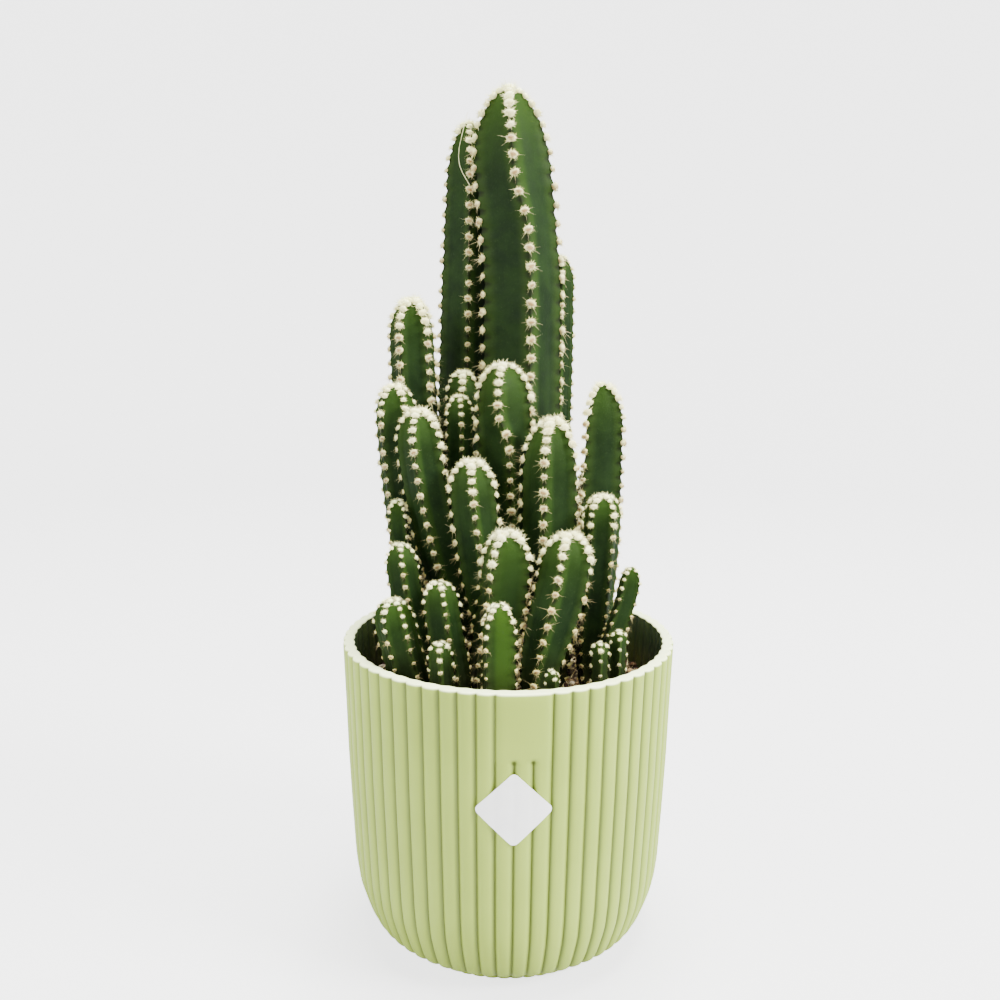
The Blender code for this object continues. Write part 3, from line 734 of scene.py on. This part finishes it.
def tuft_kind(stem, below_tip):
    """The age group of the areole at this distance below the tip."""
    if below_tip < CROWN_REACH * stem.girth:
        return "crown"
    if below_tip < YOUNG_WOOL_REACH * stem.girth + 3.0:
        return "young"
    height = stem.height - below_tip
    old = height < OLD_TOP + tuft_draw.uniform(-OLD_SPREAD, OLD_SPREAD) and stem.height > SPROUT_TOP
    return "old" if old else "middle"


def has_room(point, outward):
    """Whether a spine's length fits between the areole and the pot's wall or the outermost radius."""
    radius = math.hypot(point.x, point.y)
    if point.x * outward.x + point.y * outward.y < 0.2 * radius:
        return True
    return radius < (WALL_REACH if point.z < RIM_HEIGHT + 4.0 else BARE_REACH)


def place_tufts(bm, stem):
    """Sets an areole on every bulge of every rib, turned onto the skin there."""
    for rib in range(stem.ribs):
        around = rib * 360.0 / stem.ribs
        for number in range(len(stem.levels) - 1):
            below_tip = stem.areole_level(number, rib)
            share = 1.0 - below_tip / stem.length
            if share * stem.length < 2.0:
                continue
            point, _ = stem.surface(share, around)
            upper, _ = stem.surface(min(share + 0.5 / stem.length, 0.9999), around)
            outward = Vector((*toward(stem.rib_turn(share) + around, 1.0), 0.0))
            rise = (upper - point).normalized()
            normal = (outward - rise * outward.dot(rise)).normalized()
            side = normal.cross(rise).normalized()
            size = stem.wool * (TUFT_SIZE + TUFT_SIZE_BY_GIRTH * stem.girth) * tuft_draw.uniform(0.75, 1.2)
            size *= 1.1 - 0.1 * ease(below_tip, 1.0, 1.2 * stem.girth)
            turn = Matrix((rise, side, normal)).transposed().to_4x4()
            turn = turn @ Matrix.Rotation(tuft_draw.uniform(-0.5, 0.5), 4, "Z")
            turn = turn @ Matrix.Rotation(tuft_draw.uniform(-0.25, 0.25), 4, "X")
            turn = turn @ Matrix.Rotation(tuft_draw.uniform(-0.25, 0.25), 4, "Y")
            template = tuft_draw.choice(TUFTS[(tuft_kind(stem, below_tip), has_room(point, outward))]).copy()
            template.transform(Matrix.Translation(point - normal * 0.2) @ turn @ Matrix.Scale(size, 4))
            for vertex in template.vertices:
                vertex.co.z = min(vertex.co.z, CROWN_TOP)
            bm.from_mesh(template)
            bpy.data.meshes.remove(template)


stem_skin_finish, tree, shader = new_material("waxy cactus skin", 0.6)
shader.inputs["Specular IOR Level"].default_value = 0.05
marks = place_patches(tree, 110.0, 1500.0)
edge = painted(tree, "edge")
young = painted(tree, "young")
tone = painted(tree, "tone")
# Dark green flesh in uneven patches, yellower where it is young, and paler along each rib's edge; the side toward
# the light is painted paler and yellower, with a painted highlight stripe beside each rib's edge, as painted light
dark_green, mid_green = (0.0045, 0.0125, 0.0030), (0.0098, 0.0230, 0.0055)
flesh = colour_mix(tree, bend_range(tree, marks["Patches"], 0.3, 0.7), dark_green, mid_green)
flesh = colour_mix(tree, bend_range(tree, tone, 0.5, 1.0, 0.0, 0.85), flesh, (0.024, 0.055, 0.006))
flesh = colour_mix(tree, bend_range(tree, young, 0.25, 1.0, 0.0, 0.6), flesh, (0.020, 0.047, 0.002))
flesh = colour_mix(tree, bend_range(tree, edge, 0.5, 0.95, 0.0, 0.55), flesh, (0.024, 0.046, 0.007))
# Pale specks all over, a painted shadow in the notch under each areole, and cork near the soil
specks = bend_range(tree, marks["Grain"], 0.56, 0.78, 0.0, 0.25)
flesh = colour_mix(tree, specks, flesh, (0.026, 0.050, 0.014))
hollow = painted(tree, "hollow")
flesh = colour_mix(tree, bend_range(tree, hollow, 0.3, 0.9, 0.0, 0.8), flesh, (0.006, 0.007, 0.003))
corky = bend_range(tree, height_of_point(tree), 0.086, 0.112, 0.45, 0.0)
tree.links.new(colour_mix(tree, corky, flesh, (0.028, 0.022, 0.010)), shader.inputs["Base Color"])
tree.links.new(bend_range(tree, marks["Patches"], 0.3, 0.7, 0.5, 0.68), shader.inputs["Roughness"])
add_bump(tree, shader, marks["Height"], 0.00015, 0.5)

wool_finish, tree, shader = new_material("areole wool", 0.9)
marks = place_patches(tree, 900.0, 4200.0)
age = painted(tree, "age")
core = painted(tree, "core")
wool = colour_mix(tree, age, (0.96, 0.96, 0.50), (0.74, 0.64, 0.20))
wool = colour_mix(tree, bend_range(tree, marks["Patches"], 0.35, 0.6, 0.25, 0.0), wool, (0.60, 0.46, 0.12))
browned = bend_range(tree, age, 0.05, 0.5, 0.0, 0.9)
# The brown middle is real brown and, on the cushion's lower side, also painted shade
dark_core = add(tree, "ShaderNodeMath", {"operation": "MULTIPLY"})
tree.links.new(core, dark_core.inputs[0])
tree.links.new(browned, dark_core.inputs[1])
wool = colour_mix(tree, dark_core.outputs[0], wool, (0.22, 0.095, 0.018))
tree.links.new(wool, shader.inputs["Base Color"])
tree.links.new(bend_range(tree, marks["Grain"], 0.3, 0.7, 0.8, 0.95), shader.inputs["Roughness"])
shader.inputs["Sheen Weight"].default_value = 0.4
add_bump(tree, shader, marks["Grain"], 0.0002, 0.8)

spine_finish, tree, shader = new_material("stiff spine", 0.45)
marks = place_patches(tree, 500.0, 3500.0)
age = painted(tree, "age")
horn = colour_mix(tree, age, (0.92, 0.86, 0.50), (0.80, 0.66, 0.30))
horn = colour_mix(tree, bend_range(tree, marks["Patches"], 0.45, 0.65, 0.0, 0.4), horn, (0.30, 0.15, 0.06))
tree.links.new(horn, shader.inputs["Base Color"])
tree.links.new(bend_range(tree, marks["Grain"], 0.3, 0.7, 0.38, 0.55), shader.inputs["Roughness"])
add_bump(tree, shader, marks["Grain"], 0.00005, 0.4)

# A dry pale fibre that clings to the front of the tall left stem, from its top down
FIBRE_RADIUS = 0.08
FIBRE = (
    (-14.6, 26.4, 273.0), (-15.6, 25.9, 269.0), (-16.6, 25.2, 265.0), (-17.4, 25.0, 261.5), (-17.6, 25.0, 258.3),
    (-17.2, 24.8, 255.6), (-16.2, 24.3, 253.2), (-15.0, 23.6, 251.2), (-13.9, 23.2, 249.4),
)


def lay_fibre(bm):
    """Joins short round pieces end to end along the fibre's line."""
    for start, end in zip(FIBRE, FIBRE[1:]):
        along = Vector(end) - Vector(start)
        cone_along(bm, Vector(start), along.normalized(), along.length * 1.04, FIBRE_RADIUS, 1, 1.0)


for name, stem in STEMS.items():
    whole = stem_skin(stem)
    place_tufts(whole, stem)
    if name == "stem_tall_left":
        lay_fibre(whole)
    piece_name = name.replace("stem", "column").replace("sprout", "shoot")
    piece = finish(whole, piece_name, [stem_skin_finish, wool_finish, spine_finish], 70)
    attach(piece, "root")
    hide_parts(name)

# The soil
# Loose, dark potting mix of peat and bark crumbs, filled to 18 mm below the rim. Dry spines, brown bits of old
# wool and a few pale grains lie on it, most of them between the front stems.
CRUMBS = 900
CRUMB_SIZES = (0.45, 0.6, 0.8, 1.1, 1.5)
soil_draw = random.Random(11)


def soil_surface(x, y):
    """The uneven top of the soil, a little heaped in the middle and sunk at the wall."""
    radius = math.hypot(x, y)
    rough = 0.9 * noise.noise(Vector((x, y, 0.0)) * 0.16) + 0.5 * noise.noise(Vector((x, y, 7.0)) * 0.6)
    return SOIL_TOP - 0.1 + rough - 0.7 * ease(radius, 44.0, 50.0)


soil_profile = [(7.3, 0.0), (7.3, 40.8), (14.0, 46.0), (30.0, 48.8), (80.0, 49.9), (83.2, 49.95)]
soil_profile += [(SOIL_TOP, 49.8 - 0.9 * k) for k in range(55)] + [(SOIL_TOP, 0.0)]
soil_mesh = turned(soil_profile, 200)
for vertex in soil_mesh.verts:
    if vertex.co.z > 83.5:
        vertex.co.z = soil_surface(vertex.co.x, vertex.co.y)


def in_a_stem(x, y, margin):
    """Whether a place on the soil is inside a stem's foot, or nearer to it than the margin."""
    return any(
        math.hypot(x - stem.foot[0], y - stem.foot[1]) < stem.girth * stem.base * 0.8 + margin
        for stem in STEMS.values()
    )


def scatter(count, reach, margin):
    """Places on the soil between the stems, more of them toward the front."""
    while count:
        radius = reach * math.sqrt(soil_draw.random())
        x, y = toward(soil_draw.gauss(0.0, 75.0) if soil_draw.random() < 0.6 else soil_draw.uniform(0, 360), radius)
        if math.hypot(x, y) < reach and not in_a_stem(x, y, margin):
            count -= 1
            yield Vector((x, y, soil_surface(x, y)))


crumb_layer = soil_mesh.verts.layers.float.new("crumb")
for place in scatter(CRUMBS, 49.0, 0.3):
    size = soil_draw.choice(CRUMB_SIZES)
    turn = Matrix.Rotation(soil_draw.uniform(0, 6.3), 4, soil_draw.choice("XYZ"))
    made = bmesh.ops.create_icosphere(
        soil_mesh, subdivisions=1, radius=size, matrix=Matrix.Translation(place + Vector((0, 0, size * 0.2))) @ turn
    )
    crumb = soil_draw.random()
    for vertex in made["verts"]:
        offset = (vertex.co - place) * soil_draw.uniform(0.75, 1.15)
        vertex.co = place + Vector((offset.x * (0.7 + 0.5 * crumb), offset.y, offset.z * 0.7))
        vertex[crumb_layer] = crumb

soil_finish, tree, shader = new_material("potting mix", 0.95)
shader.inputs["Specular IOR Level"].default_value = 0.1
marks = place_patches(tree, 260.0, 1800.0)
crumb = painted(tree, "crumb")
earth = colour_mix(tree, bend_range(tree, marks["Patches"], 0.35, 0.65), (0.012, 0.007, 0.004), (0.040, 0.023, 0.011))
earth = colour_mix(tree, bend_range(tree, crumb, 0.55, 0.9, 0.0, 0.6), earth, (0.10, 0.048, 0.02))
earth = colour_mix(tree, bend_range(tree, crumb, 0.97, 0.98, 0.0, 0.8), earth, (0.40, 0.34, 0.24))
tree.links.new(earth, shader.inputs["Base Color"])
tree.links.new(bend_range(tree, marks["Grain"], 0.3, 0.7, 0.8, 1.0), shader.inputs["Roughness"])
add_bump(tree, shader, marks["Height"], 0.0006, 1.0)
soil = finish(soil_mesh, "potting_soil", [soil_finish], 60)
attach(soil, "root")
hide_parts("soil")

# The litter
# Shed spines, and dry brown scraps of wool that have fallen between the stems and lie loosely on the soil, most
# of them near the front wall. They are free of the soil and of one another.
SCRAPS = 90
FALLEN_SPINES = 420
CAUGHT = 240
CAUGHT_RISE = 8.0
LITTER_REACH = 47.0

litter_mesh = bmesh.new()
litter_mesh.verts.layers.float.new("age")
litter_mesh.verts.layers.float.new("core")
for place in scatter(FALLEN_SPINES, LITTER_REACH, 0.2):
    flat = soil_draw.uniform(0, 2 * math.pi)
    direction = Vector((math.cos(flat), math.sin(flat), soil_draw.uniform(-0.05, 0.6))).normalized()
    cone_along(litter_mesh, place + Vector((0, 0, 0.5)), direction, soil_draw.uniform(2.5, 6.5), 0.13, 0)
# Spines caught among the stems at the front right, where the soil lies bare: angle, radius and share of the rise
caught = [(soil_draw.uniform(6, 58), soil_draw.uniform(30, 46.5), soil_draw.random()) for _ in range(CAUGHT)]
for angle, radius, rise in caught:
    x, y = toward(angle, radius)
    flat = soil_draw.uniform(0, 2 * math.pi)
    direction = Vector((math.cos(flat), math.sin(flat), soil_draw.uniform(-0.3, 0.7))).normalized()
    root = Vector((x, y, SOIL_TOP + 0.8 + CAUGHT_RISE * rise))
    cone_along(litter_mesh, root, direction, min(soil_draw.uniform(4.0, 8.0), 50.0 - radius), 0.1, 0)
bare_places = [Vector((*toward(angle, radius), 0.0)) for angle, radius, rise in caught[:SCRAPS]]
for place in [*scatter(SCRAPS, LITTER_REACH, 0.6), *bare_places]:
    if in_a_stem(place.x, place.y, 0.3):
        continue
    place.z = soil_surface(place.x, place.y) + soil_draw.uniform(0.0, 2.0) + 0.5
    scrap = soil_draw.choice(TUFTS[("old", True)]).copy()
    turn = Matrix.Rotation(soil_draw.uniform(0, 6.3), 4, "Z") @ Matrix.Rotation(soil_draw.uniform(-0.9, 0.9), 4, "X")
    scrap.transform(Matrix.Translation(place) @ turn @ Matrix.Scale(soil_draw.uniform(0.5, 1.0), 4))
    litter_mesh.from_mesh(scrap)
    bpy.data.meshes.remove(scrap)
age_layer = litter_mesh.verts.layers.float["age"]
core_layer = litter_mesh.verts.layers.float["core"]
for vertex in litter_mesh.verts:
    vertex[age_layer] = 0.9
    vertex[core_layer] = 1.0
litter = finish(litter_mesh, "fallen_spines", [spine_finish, wool_finish, spine_finish], 60)
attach(litter, "root")

# The setting
# A pale studio sweep with soft light from the upper right, and the camera where the photograph was taken from.
CAMERA_PLACE = (0.0, -322.8, 208.3)
CAMERA_AIM = 10.72
CAMERA_YAW = -0.53
CAMERA_ROLL = 0.30
CAMERA_LENS = 36.0
LIGHT_AIM = (0.0, 0.0, 0.13)
FLOOR_EDGE = 900.0
SWEEP_BEND = 500.0
SWEEP_TOP = 1500.0
SWEEP_GLOW = 0.15
SWEEP_SEEN_GLOW = 2.6

sweep_profile = [(0.0, 0.0), (0.0, 700.0), (0.0, FLOOR_EDGE)]
for step in range(1, 19):
    bent = math.radians(5 * step)
    sweep_profile.append((SWEEP_BEND * (1.0 - math.cos(bent)), FLOOR_EDGE + SWEEP_BEND * math.sin(bent)))
sweep_profile.append((SWEEP_TOP, FLOOR_EDGE + SWEEP_BEND))
sweep_mesh = turned(sweep_profile, 96)
if any(face.normal.z < -0.5 for face in sweep_mesh.faces):
    bmesh.ops.reverse_faces(sweep_mesh, faces=sweep_mesh.faces)
sweep_paint, tree, shader = new_material("pale studio paper", 0.9)
marks = place_patches(tree, 3.0, 300.0)
paper = colour_mix(tree, marks["Patches"], (0.34, 0.34, 0.34), (0.35, 0.35, 0.35))
tree.links.new(paper, shader.inputs["Base Color"])
shader.inputs["Emission Color"].default_value = (1.0, 1.0, 1.0, 1.0)
seen = add(tree, "ShaderNodeLightPath").outputs["Is Camera Ray"]
tree.links.new(bend_range(tree, seen, 0.0, 1.0, SWEEP_GLOW, SWEEP_SEEN_GLOW), shader.inputs["Emission Strength"])
sweep = finish(sweep_mesh, "studio_sweep", [sweep_paint])
sweep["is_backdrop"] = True


def add_light(name, place, size, power):
    """A soft square light aimed at the plant."""
    lamp = bpy.data.lights.new(name, "AREA")
    lamp.size = size
    lamp.energy = power
    thing = bpy.data.objects.new(name, lamp)
    aim = Vector(LIGHT_AIM) - Vector(place)
    thing.matrix_world = Matrix.Translation(place) @ aim.to_track_quat("-Z", "Y").to_matrix().to_4x4()
    bpy.context.scene.collection.objects.link(thing)


add_light("key light", (1.15, -0.45, 0.85), 0.45, 60.0)
add_light("fill light", (-1.1, -0.5, 0.7), 0.7, 20.0)
add_light("front light", (0.15, -1.3, 0.5), 0.9, 6.0)
add_light("top light", (0.1, 0.1, 1.4), 0.6, 78.0)

world = bpy.data.worlds.new("studio")
world.use_nodes = True
world.node_tree.nodes["Background"].inputs["Color"].default_value = (1.0, 1.0, 1.0, 1.0)
world.node_tree.nodes["Background"].inputs["Strength"].default_value = 0.2
bpy.context.scene.world = world

camera_data = bpy.data.cameras.new("camera")
camera_data.lens = CAMERA_LENS
camera_data.sensor_width = 36.0
camera_data.clip_start = 0.01
camera = bpy.data.objects.new("camera", camera_data)
camera.matrix_world = (
    Matrix.Translation(Vector(CAMERA_PLACE) * MM)
    @ Matrix.Rotation(math.radians(-CAMERA_YAW), 4, "Z")
    @ Matrix.Rotation(math.radians(90.0 - CAMERA_AIM), 4, "X")
    @ Matrix.Rotation(math.radians(CAMERA_ROLL), 4, "Z")
)
bpy.context.scene.collection.objects.link(camera)
bpy.context.scene.camera = camera

boxes = {"cad": cad_box, "scene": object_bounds()}
{label: [list(map(float, corner)) for corner in box] for label, box in boxes.items()}
